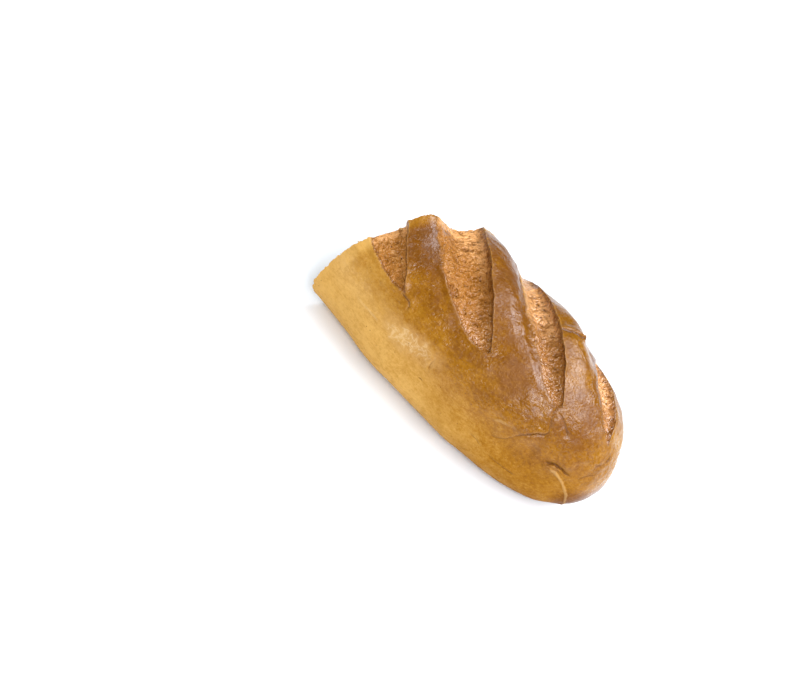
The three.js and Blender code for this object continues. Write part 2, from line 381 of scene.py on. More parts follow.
def beside_line(points, normals, line):
    """The distance from a line on the skin, the side, and the line's strength at the nearest point of it."""
    line = np.array(line)
    nearest = np.full(len(points), np.inf)
    side = np.zeros(len(points))
    strength = np.zeros(len(points))
    last = len(line) - 2
    for index, (start, end) in enumerate(zip(line[:-1], line[1:])):
        along = (end - start)[:3]
        share = np.clip((points - start[:3]) @ along / (along @ along), 0, 1)
        offset = points - start[:3] - share[:, None] * along
        distance = np.linalg.norm(offset, axis=1)
        closer = distance < nearest
        nearest[closer] = distance[closer]
        side[closer] = np.sign((np.cross(along, offset) * normals).sum(1))[closer]
        # the line fades out at both of its ends
        fade_in = smooth(share, 0, 0.7) if index == 0 else 1
        fade_out = smooth(1 - share, 0, 0.7) if index == last else 1
        strength[closer] = ((start[3] + share * (end[3] - start[3])) * (fade_in * fade_out))[closer]
    return nearest, side, strength


places = skin.reshape(-1, 3)
x, y, z = places.T
normals = normal.reshape(-1, 3)
tear = tear.ravel()
browner = browner.ravel()
torn = smooth(tear, -0.3, 0.6)
webbed = smooth(tear, 0.3, 2.5)

# soft lumps, and fine wrinkles that the skin's stretching drew along the loaf
WRINKLE_STRETCH = 0.45
lumps = waves(places, (0.7, 32), (0.5, 12))
drawn_out = places * np.array([WRINKLE_STRETCH, 1, 1])
wrinkles = waves(drawn_out, (0.16, 3.2)) + waves(places, (0.07, 1.6))
wrinkles += waves(places, (0.3, 6)) * smooth(z, 30, 50)


RIDGE_LEVEL = 1.05


def ridges(points, size):
    """Branching ridges, which lie about level with the skin."""
    return sample(lambda p: noise.ridged_multi_fractal(p, 0.9, 2.1, 3, 1, 2), points, size) - RIDGE_LEVEL


# torn webs, stretched across the gape
WEB_HEADING = math.radians(39)
WEB_STRETCH = 1.5
WEB_TANGLE = 0.9
along_slash, over_slash = math.cos(WEB_HEADING), math.sin(WEB_HEADING)
stretched = places @ np.array([
    [along_slash, over_slash / WEB_STRETCH, 0],
    [-over_slash, along_slash / WEB_STRETCH, 0],
    [0, 0, 1],
])
stretched += WEB_TANGLE * np.column_stack([waves(stretched + 40 * axis, (1, 3.1)) for axis in np.eye(3)])
holes = 0.8 * bubbles(stretched, 1.9, 0.28) + 1.6 * bubbles(stretched + 7, 4.6, 0.12)
web = 0.35 * ridges(stretched, 2.3) + waves(stretched, (0.35, 1.2)) + waves(places, (0.4, 7)) - 0.85 * holes

# the heel's blisters
heel_rough = smooth(x, 128, 141) * smooth(z, 22, 34) * smooth(y, -16, -6)
blisters = ridges(places, 4.5)

# the folds, cracks and seams, and how far each place is from the nearest of them
lines_relief = np.zeros(len(places))
crease = np.full(len(places), FAR)
crease_dark = np.zeros(len(places))
crease_pale = np.zeros(len(places))
wobble = waves(places, (0.3, 2.4))
for line in LINES:
    distance, side, strength = beside_line(places, normals, line["line"])
    signed = distance * side + wobble
    raised_side = smooth(signed * np.sign(line["step"]), -FOLD_WIDTH, FOLD_WIDTH)
    over = abs(line["step"]) * np.exp(-((signed / FOLD_REACH) ** 2)) * raised_side
    line_shape = np.exp(-((signed / GROOVE_WIDTH) ** 2))
    lines_relief += strength * (over - line["groove"] * line_shape) * (distance < LINE_REACH)
    nearer = distance < np.abs(crease)
    crease[nearer] = signed[nearer]
    crease_dark[nearer] = (strength * min(1, max(0, GROOVE_SHADE * line["groove"])))[nearer]
    crease_pale[nearer] = (strength * min(1, max(0, -SEAM_SHADE * line["groove"])))[nearer]

swellings = np.zeros(len(places))
for swelling in SWELLINGS:
    distance = np.linalg.norm(places - np.array(swelling["at"]), axis=1)
    radius = swelling["radius"]
    swellings += swelling["height"] * (1 - smooth(distance, 0.3 * radius, 1.3 * radius))

height = lumps + wrinkles * (1 - torn) + web * webbed + lines_relief + swellings
height += 0.45 * blisters * heel_rough
places = places + normals * height[:, None]
raised = relief + height.reshape(relief.shape)

# the sole: flat on the oven's floor, with shallow dimples
DIMPLE_DEPTH = 0.7
sole = smooth(-places[:, 2], -1.6, -0.2) * smooth(-normals[:, 2], 0.1, 0.5)
dimples = np.abs(waves(places, (1, 5))) + 0.6 * bubbles(places, 4.5, 0.35)
places[:, 2] = np.maximum(places[:, 2], 0) + DIMPLE_DEPTH * dimples * smooth(-places[:, 2], -0.8, 0)
skin = places.reshape(skin.shape)

# the knife's edge: the first ring is on the cut, frayed where the blade dragged the skin
rim = skin[0]
fibres = dice(rim.round(1)) * smooth(waves(rim + 5, (1, 4)), -0.3, 0.4)
fray = waves(rim, (0.7, 3.7), (0.4, 1.7)) - 0.9 * fibres
drag = waves(rim + 9, (0.35, 2.3)) + 0.3 * (dice(rim.round(1) + 1) - 0.5)
rim += normal[0] * drag[:, None]
rim[:, 2] = np.maximum(rim[:, 2], 0)
rim[:, 0] = cut_x(rim[:, 1], rim[:, 2]) + fray

# Inside, the crust is a wall, thick at the sole and thin where it is torn. It goes a short way in, and closes
# behind the crumb: a row of the wall lies under each of these rings.
WALL_ROWS = [0, 1, 2, 4, 6]
SOLE_THICKNESS = 2.5
FLANK_THICKNESS = 0.9
CROWN_THICKNESS = 1.2
TORN_THICKNESS = 0.7
uneven = 1 + waves(rim, (0.35, 3.2))


def inside_wall(row, less=0):
    """The crust's inner surface under one ring, or a little less deep."""
    outer = skin[row]
    ring_torn = torn[row * COLUMNS:(row + 1) * COLUMNS]
    thickness = FLANK_THICKNESS + (CROWN_THICKNESS - FLANK_THICKNESS) * smooth(outer[:, 2], 35, 60)
    thickness = thickness + (TORN_THICKNESS - thickness) * ring_torn
    thickness = thickness + (SOLE_THICKNESS - thickness) * smooth(-outer[:, 2], -7, -2)
    # under a valley's steep side the wall keeps its thickness sideways too
    lowest = np.minimum.reduce([np.roll(raised[row], shift) for shift in (-3, -2, -1, 0, 1, 2, 3)])
    inner = outer - normal[row] * (raised[row] - lowest + thickness * uneven - less)[:, None]
    for _ in range(2):
        inner = (np.roll(inner, 1, 0) + 2 * inner + np.roll(inner, -1, 0)) / 4
    if row == 0:
        inner[:, 0] = cut_x(inner[:, 1], inner[:, 2])
    return inner


wall = [inside_wall(row) for row in WALL_ROWS]
bottom = wall[-1].mean(0)
knife_face = (rim + wall[0]) / 2
knife_face[:, 0] += 0.15 + waves(knife_face, (0.25, 1.6))
cup = np.stack([
    np.tile(bottom, (COLUMNS, 1)),
    (wall[-1] + bottom) / 2,
    *wall[::-1],
    knife_face,
])
CUP_ROWS = len(cup)

# how far each place is baked, from pale to brown: least low by the cut, most on the ridges and the heel
PALEST = 0.04
x, y, z = places.T
spots = waves(places, (1, 26), (0.5, 9))
near_heel = smooth(x - 0.1 * y + 4 * spots, 28, 148)
on_crown = smooth(z + 6 * near_heel + 4 * spots, 20, 66)
bake = 1 - (1 - 0.92 * on_crown) * (1 - 0.7 * near_heel) + browner
# browner near the oven's floor; darker still low on the heel's tip, partly browner crust and partly painted
# shade under the heel
bake += 0.25 * smooth(-z, -10, -1) + 0.06 * spots
bake += 0.6 * smooth(x, 134, 142) * smooth(-z, -30, -15)
# paler on the heel's far side, over its tip, and on the near side by the cut
bake -= 0.3 * smooth(x, 105, 132) * smooth(y, -10, 20)
bake -= 0.12 * smooth(x, 124, 138)
bake -= 0.2 * smooth(-x, -30, 0) * smooth(-y, 5, 25)
# the torn floors are painted paler towards the far side: painted light
towards_painted_light = y - 0.14 * np.maximum(x - 60, 0)
bake = np.where(tear > 0, 0.95 - 0.8 * smooth(towards_painted_light, -15, 20), bake)
# the last of the skin by the cut is pale and golden: partly its own colour, partly painted light against the
# lips' shade
bake -= 0.6 * (1 - smooth(from_cut.ravel(), 1, 8))
bake = np.maximum(bake, PALEST)

# a dry patch low on the near side of the crown, where flour dulled the skin
PATCH_CENTRE = (41.5, 39.1)  # X and Z
PATCH_REACH = (21, 6.6)
PATCH_SLOPE = 0.1
patch_x = (x - PATCH_CENTRE[0]) / PATCH_REACH[0]
patch_z = (z - PATCH_CENTRE[1] - PATCH_SLOPE * (x - PATCH_CENTRE[0])) / PATCH_REACH[1]
patch_edge = np.hypot(patch_x, patch_z) + waves(places, (0.35, 5), (0.2, 2))
worn = smooth(-patch_edge, -1.4, -0.3) * (y < 0)

# steam glazed the crown and the heel's far side. The flanks stayed dull, and so did one spot on the crown.
DULL_SPOT = np.array([86, -24.5, 57])
on_far_heel = smooth(x, 118, 136) * smooth(y, -14, 2)
glazed = np.maximum(smooth(z + 4 * spots, 27, 46), on_far_heel) * (1 - 0.7 * worn)
glazed -= 0.6 * (1 - smooth(np.linalg.norm(places - DULL_SPOT, axis=1), 5, 13))
glazed = np.where(tear > 0, 0.25 + 0.75 * smooth(x, 35, 75), glazed)


def crust_marks(outside, in_cup):
    """One number for each place on the grid, row by row: in the cup and then outside, with the first column
    again at the end."""
    whole = np.vstack([np.full((CUP_ROWS, COLUMNS), in_cup, float), outside.reshape(RINGS + 1, COLUMNS)])
    return np.column_stack([whole, whole[:, :1]]).ravel()


# what the finish follows at each place
marks = {
    "bake": crust_marks(bake, 0.5),
    "tear": crust_marks(np.clip(tear, -FAR, FAR), -FAR),
    "edge": crust_marks(np.clip(edge.ravel(), -FAR, FAR), -FAR),
    "crisp": crust_marks(crisp, 0),
    "web": crust_marks(web, 0),
    "sole": crust_marks(sole, 0),
    "worn": crust_marks(worn, 0),
    "glazed": crust_marks(glazed, 0),
    "crease": crust_marks(crease, FAR),
    "crease_dark": crust_marks(crease_dark, 0),
    "crease_pale": crust_marks(crease_pale, 0),
    "inside": crust_marks(np.zeros(len(places)), 1),
}


def laid_on(grid, points, marks):
    """Moves a flat grid's points, row by row, to places in the loaf's frame, and marks them."""
    for name, values in marks.items():
        layer = grid.verts.layers.float.new(name)
        for vert, value in zip(grid.verts, values):
            vert[layer] = value
    for vert, place in zip(grid.verts, (points + TO_FRAME) / 1000):
        vert.co = place


def finished_piece(shape, name, material):
    """The piece made from a bmesh: shaded smoothly, with its finish, riding on the loaf's one body."""
    for face in shape.faces:
        face.smooth = True
    mesh = bpy.data.meshes.new(name)
    shape.to_mesh(mesh)
    shape.free()
    mesh.materials.append(material)
    piece = bpy.data.objects.new(name, mesh)
    bpy.context.scene.collection.objects.link(piece)
    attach(piece, "root")
    return piece


MERGE_DISTANCE = 1e-7
SHARP_FOLD = math.radians(58)
crust_shape = bmesh.new()
bmesh.ops.create_grid(crust_shape, x_segments=COLUMNS, y_segments=CUP_ROWS + RINGS, size=1)
crust_points = np.concatenate([cup, skin])
crust_points = np.concatenate([crust_points, crust_points[:, :1]], axis=1).reshape(-1, 3)
laid_on(crust_shape, crust_points, marks)
bmesh.ops.remove_doubles(crust_shape, verts=crust_shape.verts, dist=MERGE_DISTANCE)
bmesh.ops.triangulate(crust_shape, faces=crust_shape.faces, quad_method="SHORT_EDGE")
bmesh.ops.recalc_face_normals(crust_shape, faces=crust_shape.faces)
for fold in crust_shape.edges:
    fold.smooth = fold.calc_face_angle(0) < SHARP_FOLD


# Baked wheat crust. The dough browns from straw to chestnut as it dries, and the oven's steam glazes it.
# What the eye sees: colour that follows the baking, fine freckles, a wrinkled satin gloss in patches, and
# torn webs whose strands glint. The strands' pale tops and the wrinkles' pale ridges are painted highlight,
# and the webs' dark low parts are painted shade.
def linear_colour(code):
    """A colour written as an sRGB hex code, in linear light."""
    levels = [int(code[i:i + 2], 16) / 255 for i in (1, 3, 5)]
    return [c / 12.92 if c < 0.04045 else ((c + 0.055) / 1.055) ** 2.4 for c in levels] + [1]


def add_node(material, kind, inputs, **settings):
    """Adds a shader node with its settings, and gives its outputs. Each input is a value or an output."""
    tree = material.node_tree
    node = tree.nodes.new(kind)
    for name, value in settings.items():
        setattr(node, name, value)
    for name, value in inputs.items():
        if isinstance(value, bpy.types.NodeSocket):
            tree.links.new(value, node.inputs[name])
        else:
            node.inputs[name].default_value = value
    return node.outputs


def coated(material, base, coats):
    """Lays colours over a base, one after another. A coat is what it follows, the values at which it starts
    and is full, its strength there and its colour."""
    for value, start, full, strength, colour in coats:
        share = add_node(material, "ShaderNodeMapRange", {
            "Value": value, "From Min": start, "From Max": full, "To Max": strength},
            interpolation_type="SMOOTHSTEP")["Result"]
        base = add_node(material, "ShaderNodeMixRGB", {
            "Fac": share, "Color1": base, "Color2": colour})["Color"]
    return base


baked_crust = bpy.data.materials.new("baked_wheat_crust")
baked_crust.use_nodes = True
surface = baked_crust.node_tree.nodes["Principled BSDF"]
place = add_node(baked_crust, "ShaderNodeTexCoord", {})["Object"]
mark = {
    name: add_node(baked_crust, "ShaderNodeAttribute", {}, attribute_name=name)["Fac"] for name in marks
}
lengthwise = add_node(baked_crust, "ShaderNodeMapping", {"Vector": place, "Scale": (0.3, 1, 1)})["Vector"]
# patterns of even noise: the size in millimetres, the detail and the roughness of each
streaks, freckles, blotches, grain, dents, mottles = (
    add_node(baked_crust, "ShaderNodeTexNoise", {
        "Vector": where, "Scale": 1000 / size, "Detail": detail, "Roughness": roughness})["Fac"]
    for where, size, detail, roughness in (
        (lengthwise, 1.3, 4, 0.65),  # streaks
        (place, 1.7, 4, 0.65),  # freckles
        (place, 8, 4, 0.6),  # blotches
        (place, 0.6, 2, 0.6),  # grain
        (place, 1.1, 1, 0.5),  # dents
        (place, 3.2, 2, 0.6),  # mottles
    )
)
# branching ridges: the webs' strands, then the skin's fine wrinkles, with the size and the detail of each
strands, wrinkles = (
    add_node(baked_crust, "ShaderNodeTexNoise", {
        "Vector": place, "Scale": 1000 / size, "Detail": detail, "Roughness": 0.5, "Offset": 1, "Gain": 2,
        "Distortion": 0.8}, noise_type="RIDGED_MULTIFRACTAL")["Fac"]
    for size, detail in ((2.8, 1), (1.8, 2))
)
# dots: pinholes in the skin, then the pits in the webs, with the spacing of each; both are darkened with
# painted shade
pinholes, pits = (
    add_node(baked_crust, "ShaderNodeTexVoronoi", {"Vector": place, "Scale": 1000 / spacing})["Distance"]
    for spacing in (5, 3.6)
)
pits = add_node(baked_crust, "ShaderNodeMath", {0: dents, 1: 0.6, 2: pits}, operation="MULTIPLY_ADD")["Value"]

# the tear's edge is ragged: its distance, in millimetres, wavers with the freckles
wavering = add_node(baked_crust, "ShaderNodeMapRange", {
    "Value": freckles, "From Min": 0.3, "From Max": 0.7, "To Min": -0.35, "To Max": 0.35})["Result"]
tear_depth = add_node(baked_crust, "ShaderNodeMath", {0: mark["tear"], 1: wavering}, operation="ADD")["Value"]
past_edge = add_node(baked_crust, "ShaderNodeMath", {0: mark["edge"], 1: wavering}, operation="ADD")["Value"]
torn_share = add_node(baked_crust, "ShaderNodeMapRange", {
    "Value": tear_depth, "From Min": -0.15, "From Max": 0.3})["Result"]
curled_edge = add_node(baked_crust, "ShaderNodeMapRange", {
    "Value": past_edge, "From Min": -0.7, "From Max": -0.2, "To Max": 0.25})["Result"]
curled_edge = add_node(baked_crust, "ShaderNodeMath", {0: curled_edge, 1: mark["crisp"]},
                       operation="MULTIPLY")["Value"]
# painted shade: a dark band at the foot under the skin's edge, strongest by the lip
painted_shade_under_edge = add_node(baked_crust, "ShaderNodeMapRange", {
    "Value": past_edge, "From Min": 1, "From Max": 0.3, "To Max": 0.65})["Result"]
painted_shade_under_edge = add_node(baked_crust, "ShaderNodeMath", {0: painted_shade_under_edge, 1: mark["crisp"]},
                      operation="MULTIPLY")["Value"]
from_crease = add_node(baked_crust, "ShaderNodeMath", {0: wavering, 1: 0.5, 2: mark["crease"]},
                       operation="MULTIPLY_ADD")["Value"]
from_crease = add_node(baked_crust, "ShaderNodeMath", {0: from_crease}, operation="ABSOLUTE")["Value"]
crease_line = add_node(baked_crust, "ShaderNodeMapRange", {
    "Value": from_crease, "From Min": 0.6, "From Max": 0.1}, interpolation_type="SMOOTHSTEP")["Result"]
crease_band = add_node(baked_crust, "ShaderNodeMapRange", {
    "Value": from_crease, "From Min": 1.1, "From Max": 0.3}, interpolation_type="SMOOTHSTEP")["Result"]
dark_line = add_node(baked_crust, "ShaderNodeMath", {0: crease_line, 1: mark["crease_dark"]},
                     operation="MULTIPLY")["Value"]
pale_line = add_node(baked_crust, "ShaderNodeMath", {0: crease_band, 1: mark["crease_pale"]},
                     operation="MULTIPLY")["Value"]

# browning: the baking, blotched, freckled and streaked
browning = mark["bake"]
for pattern, strength in ((freckles, 0.55), (streaks, 0.55), (blotches, 0.5), (grain, 0.3)):
    around_none = add_node(baked_crust, "ShaderNodeMath", {0: pattern, 1: 0.5}, operation="SUBTRACT")["Value"]
    browning = add_node(baked_crust, "ShaderNodeMath", {0: around_none, 1: strength, 2: browning},
                        operation="MULTIPLY_ADD")["Value"]
STRAW = linear_colour("#ca9b50")
GOLDEN = linear_colour("#b08036")
CHESTNUT = linear_colour("#966210")
DARK_CHESTNUT = linear_colour("#744304")
# painted shade, for the creases' grooves, the pinholes and the webs' pits
HOLLOW_SHADE = linear_colour("#5f3610")
PALE_EDGE = linear_colour("#dba763")
floured = add_node(baked_crust, "ShaderNodeMath", {0: strands, 1: mark["worn"]},
                   operation="MULTIPLY")["Value"]
skin_colour = coated(baked_crust, STRAW, [
    (browning, -0.1, 0.35, 1, GOLDEN),
    (browning, 0.25, 0.7, 1, CHESTNUT),
    (browning, 0.55, 1.05, 1, DARK_CHESTNUT),
    (browning, 1.0, 1.4, 1, linear_colour("#643804")),
    (mark["worn"], 0.0, 1.0, 0.32, linear_colour("#cfa56a")),
    (floured, 0.6, 1.6, 0.45, linear_colour("#e0c291")),
    (curled_edge, 0, 1, 1, PALE_EDGE),
    # painted highlight on the wrinkles' ridges
    (wrinkles, 1.35, 1.85, 0.3, PALE_EDGE),
    (pale_line, 0.1, 1, 0.2, linear_colour("#ecc78a")),
    # painted shade in the creases' grooves and in the pinholes
    (dark_line, 0.1, 0.9, 0.75, HOLLOW_SHADE),
    (pinholes, 0.07, 0.04, 0.7, HOLLOW_SHADE),
])

# the torn webs: strands with painted highlight on their tops, painted shade between them and in the pits,
# and painted shade at the foot under the skin's edge
web_colour = coated(baked_crust, linear_colour("#dea163"), [
    (browning, 0.2, 0.8, 1, linear_colour("#a2682a")),
    (mottles, 0.5, 0.34, 0.65, linear_colour("#87510f")),
    # painted shade where the web lies low, and painted light where it stands up
    (mark["web"], -0.1, -0.8, 0.55, linear_colour("#754312")),
    (mark["web"], 0.1, 0.7, 0.4, linear_colour("#d2954c")),
    # painted shade low between the strands, and painted highlight on their tops
    (strands, 0.6, 0.2, 0.4, linear_colour("#7e4a14")),
    (strands, 1.1, 1.6, 0.45, linear_colour("#e8b476")),
    # painted shade in the pits
    (pits, 0.48, 0.36, 0.85, HOLLOW_SHADE),
    # painted shade under the skin's edge
    (painted_shade_under_edge, 0, 1, 1, linear_colour("#6b3c10")),
])
skin_colour = add_node(baked_crust, "ShaderNodeMixRGB", {
    "Fac": torn_share, "Color1": skin_colour, "Color2": web_colour})["Color"]

# the sole, and the wall that shows where the loaf was cut
sole_colour = coated(baked_crust, linear_colour("#7b4c1e"), [
    (blotches, 0.35, 0.65, 1, linear_colour("#a26f37")),
    (freckles, 0.55, 0.75, 0.8, linear_colour("#c79a63")),
])
skin_colour = add_node(baked_crust, "ShaderNodeMixRGB", {
    "Fac": mark["sole"], "Color1": skin_colour, "Color2": sole_colour})["Color"]
skin_colour = coated(baked_crust, skin_colour, [
    (mark["inside"], 0, 0.4, 1, linear_colour("#8f5c24")),
    (mark["inside"], 0.4, 1, 1, linear_colour("#c29a5c")),
])
baked_crust.node_tree.links.new(skin_colour, surface.inputs["Base Color"])

# the crown shines in patches, and the flanks, the floured patch and the sole are dull. The gloss varies over
# the crust, so it is linked.
WEB_ROUGHNESS = 0.2
shine = add_node(baked_crust, "ShaderNodeMapRange", {
    "Value": blotches, "From Min": 0.38, "From Max": 0.6, "To Min": 0.2, "To Max": 0.32})["Result"]
dullness = add_node(baked_crust, "ShaderNodeMapRange", {
    "Value": mark["glazed"], "To Min": 0.35, "To Max": 0})["Result"]
roughness = add_node(baked_crust, "ShaderNodeMath", {0: shine, 1: dullness}, operation="ADD")["Value"]
roughness = add_node(baked_crust, "ShaderNodeMix", {
    "Factor": torn_share, "A": roughness, "B": WEB_ROUGHNESS})["Result"]
baked_crust.node_tree.links.new(roughness, surface.inputs["Roughness"])
gloss = add_node(baked_crust, "ShaderNodeMapRange", {
    "Value": mark["glazed"], "To Min": 0.08, "To Max": 0.4})["Result"]
gloss = add_node(baked_crust, "ShaderNodeMix", {
    "Factor": torn_share, "A": gloss, "B": mark["glazed"]})["Result"]
baked_crust.node_tree.links.new(gloss, surface.inputs["Specular IOR Level"])

# the finest relief, in millimetres: the skin is more wrinkled where it baked longer
DENT_DEPTH = 0.15
WRINKLE_HEIGHT = 0.06
CREASE_DEPTH = 0.3
WEB_DENT_DEPTH = 0.35
skin_height = add_node(baked_crust, "ShaderNodeMath", {0: dents, 1: DENT_DEPTH},
                       operation="MULTIPLY")["Value"]
skin_height = add_node(baked_crust, "ShaderNodeMath", {0: wrinkles, 1: WRINKLE_HEIGHT, 2: skin_height},
                       operation="MULTIPLY_ADD")["Value"]
wrinkling = add_node(baked_crust, "ShaderNodeMapRange", {
    "Value": mark["bake"], "From Min": 0.1, "From Max": 0.7, "To Min": 0.4, "To Max": 1})["Result"]
skin_height = add_node(baked_crust, "ShaderNodeMath", {0: skin_height, 1: wrinkling},
                       operation="MULTIPLY")["Value"]
skin_height = add_node(baked_crust, "ShaderNodeMath", {0: dark_line, 1: -CREASE_DEPTH, 2: skin_height},
                       operation="MULTIPLY_ADD")["Value"]
web_height = add_node(baked_crust, "ShaderNodeMath", {0: dents, 1: WEB_DENT_DEPTH},
                      operation="MULTIPLY")["Value"]
for pattern, strength in ((strands, 0.4), (mottles, 0.7), (pits, 0.5)):
    web_height = add_node(baked_crust, "ShaderNodeMath", {0: pattern, 1: strength, 2: web_height},
                          operation="MULTIPLY_ADD")["Value"]
# the webs' strands lie about level with the skin
web_height = add_node(baked_crust, "ShaderNodeMath", {0: web_height, 1: 1}, operation="SUBTRACT")["Value"]
fine_height = add_node(baked_crust, "ShaderNodeMix", {
    "Factor": torn_share, "A": skin_height, "B": web_height})["Result"]
relief_normal = add_node(baked_crust, "ShaderNodeBump", {"Height": fine_height, "Distance": 0.001})["Normal"]
baked_crust.node_tree.links.new(relief_normal, surface.inputs["Normal"])

crust = finished_piece(crust_shape, "crust", baked_crust)
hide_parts("half_loaf")

# --------------------------------------------------------------------------------------------------
# The crumb: the white inside of the loaf.
# A set foam of wheat dough, cut by a knife: a fine honeycomb of bubbles, torn open in places. It fills the
# crust's recess and its edge is sunk into the wall.
# --------------------------------------------------------------------------------------------------
CRUMB_STEPS = 296
CRUMB_WALL_ROWS = WALL_ROWS[:-1]
GRIP = 0.3  # how far the crumb's edge is sunk into the wall
crumb_wall = [inside_wall(row, GRIP) for row in CRUMB_WALL_ROWS]
edge = crumb_wall[0]
edge_steps = np.linalg.norm(np.diff(np.vstack([edge, edge[:1]]), axis=0), axis=1)
edge_walk = np.append(0, np.cumsum(edge_steps))
edge_walk /= edge_walk[-1]
# further in, the rings follow a smoother outline
CALMING = 60
calm_edge = edge.copy()
for _ in range(CALMING):
    calm_edge = (np.roll(calm_edge, 1, 0) + calm_edge + np.roll(calm_edge, -1, 0)) / 3
centre = edge.mean(0)
centre[0] = cut_x(centre[1], centre[2])
back = crumb_wall[-1].mean(0)

crumb_shape = bmesh.new()
bmesh.ops.create_grid(crumb_shape, x_segments=CRUMB_STEPS, y_segments=CRUMB_STEPS, size=1)
square = np.array([vert.co for vert in crumb_shape.verts])
out = np.abs(square[:, :2]).max(1)
# each square ring of the grid becomes a ring of the loaf's outline, walked from its middle right
quarter = np.where(np.abs(square[:, 0]) >= np.abs(square[:, 1]), np.where(square[:, 0] >= 0, 0, 2),
                   np.where(square[:, 1] >= 0, 1, 3))
sideways = np.choose(quarter, [square[:, 1], -square[:, 0], -square[:, 1], square[:, 0]])
sideways = sideways / np.maximum(out, 1e-9)
column_at = np.interp((quarter / 4 + sideways / 8) % 1, edge_walk, np.arange(COLUMNS + 1))


def on_loop(loop):
    """Points on a closed loop of the wall, at each grid point's column."""
    closed = np.vstack([loop, loop[:1]])
    columns = np.arange(COLUMNS + 1)
    return np.column_stack([np.interp(column_at, columns, along_axis) for along_axis in closed.T])


# the grid's outermost rings are the back, which closes to a point, and the sides, which follow the wall
ring_from_back = np.rint((1 - out) * CRUMB_STEPS / 2).astype(int)
side_rings = len(CRUMB_WALL_ROWS)
out = np.minimum(out / (1 - 2 * side_rings / CRUMB_STEPS), 1)
true_share = smooth(out, 0.7, 1)[:, None]
reach_to = on_loop(calm_edge) * (1 - true_share) + on_loop(edge) * true_share
face = centre + (reach_to - centre) * out[:, None]
face[:, 0] = cut_x(face[:, 1], face[:, 2])

# the bubbles are a little drawn out and tangled: fine ones everywhere, fewer wide ones, and some torn open
HIGHEST_FUZZ = 0.6
BUBBLE_TANGLE = 0.5
flat = face * np.array([0, 1, 1])
drawn = flat @ np.array([[1, 0, 0], [0, 1, 0.25], [0, -0.15, 0.8]])
drawn += BUBBLE_TANGLE * np.column_stack([waves(flat + 30 * axis, (1, 2.6)) for axis in np.eye(3)])
foam = 0.5 * bubbles(drawn, 1.5, 0.9) + 0.85 * bubbles(drawn + 3, 2.7, 0.45)
foam += 1.5 * bubbles(drawn + 9, 5.5, 0.14)
rough = waves(flat, (0.25, 0.9), (0.35, 4), (0.5, 14))
tears = smooth(waves(drawn, (1, 11)), 0.35, 0.6) * smooth(flat[:, 2], 38, 60)
depth = foam + rough + 1.2 * tears * (0.5 + waves(drawn, (1, 2.2)))
depth = depth * smooth(1 - out, 0, 0.03)
face[:, 0] += np.maximum(depth, -HIGHEST_FUZZ)
for ring, loop in enumerate([back[None] + np.zeros(edge.shape), *crumb_wall[:0:-1]]):
    here = ring_from_back == ring
    face[here] = on_loop(loop)[here]

# on the crumb's face the deeper bubbles are marked for painted shade
crumb_marks = {"pore_shade_and_toast": np.clip(depth / 1.6, 0, 1), "by_crust": smooth(out, 0.93, 1)}
laid_on(crumb_shape, face, crumb_marks)
bmesh.ops.remove_doubles(crumb_shape, verts=crumb_shape.verts, dist=MERGE_DISTANCE)
bmesh.ops.recalc_face_normals(crumb_shape, faces=crumb_shape.faces)

# White bread crumb: a soft matt foam of set starch and gluten. What the eye sees: cream walls with no shine.
# Light sinks into them, so the hollows stay warm rather than black.
bread_crumb = bpy.data.materials.new("white_bread_crumb")
bread_crumb.use_nodes = True
surface = bread_crumb.node_tree.nodes["Principled BSDF"]
place = add_node(bread_crumb, "ShaderNodeTexCoord", {})["Object"]
pore_shade_and_toast = add_node(bread_crumb, "ShaderNodeAttribute", {}, attribute_name="pore_shade_and_toast")["Fac"]
by_crust = add_node(bread_crumb, "ShaderNodeAttribute", {}, attribute_name="by_crust")["Fac"]
PORE_SIZE = 0.8
pores = add_node(bread_crumb, "ShaderNodeTexNoise", {
    "Vector": place, "Scale": 1000 / PORE_SIZE, "Detail": 3, "Roughness": 0.6})["Fac"]
# the deeper bubbles are darkened to tan: painted shade
crumb_colour = coated(bread_crumb, linear_colour("#dcc6a0"), [
    (pores, 0.3, 0.7, 1, linear_colour("#eedfc4")),
    (pore_shade_and_toast, 0.1, 1, 1, linear_colour("#c09f6c")),
    (by_crust, 0.2, 1, 1, linear_colour("#d9bb85")),
])
bread_crumb.node_tree.links.new(crumb_colour, surface.inputs["Base Color"])
surface.inputs["Roughness"].default_value = 0.9
surface.inputs["Specular IOR Level"].default_value = 0.2
surface.inputs["Subsurface Weight"].default_value = 0.3
surface.inputs["Subsurface Radius"].default_value = (0.0016, 0.0011, 0.0007)
surface.inputs["Subsurface Scale"].default_value = 1
pitted = add_node(bread_crumb, "ShaderNodeBump", {
    "Height": pores, "Strength": 0.8, "Distance": 0.0004})["Normal"]
bread_crumb.node_tree.links.new(pitted, surface.inputs["Normal"])

finished_piece(crumb_shape, "crumb", bread_crumb)

# --------------------------------------------------------------------------------------------------
# The loose crumbs: bits that the knife tore from the crust and the crumb, clinging to the cut's edge.
# They are of the same crumb, from cream to toasted, and leave the rim fuzzy and uneven.
# --------------------------------------------------------------------------------------------------
LOOSE_CRUMBS = 170
FINEST_CRUMB = 0.1  # in radius: most are near it, and a few are up to the next value wider
CRUMB_RANGE = 0.35
chance = np.random.default_rng(11)
loose_shape = bmesh.new()
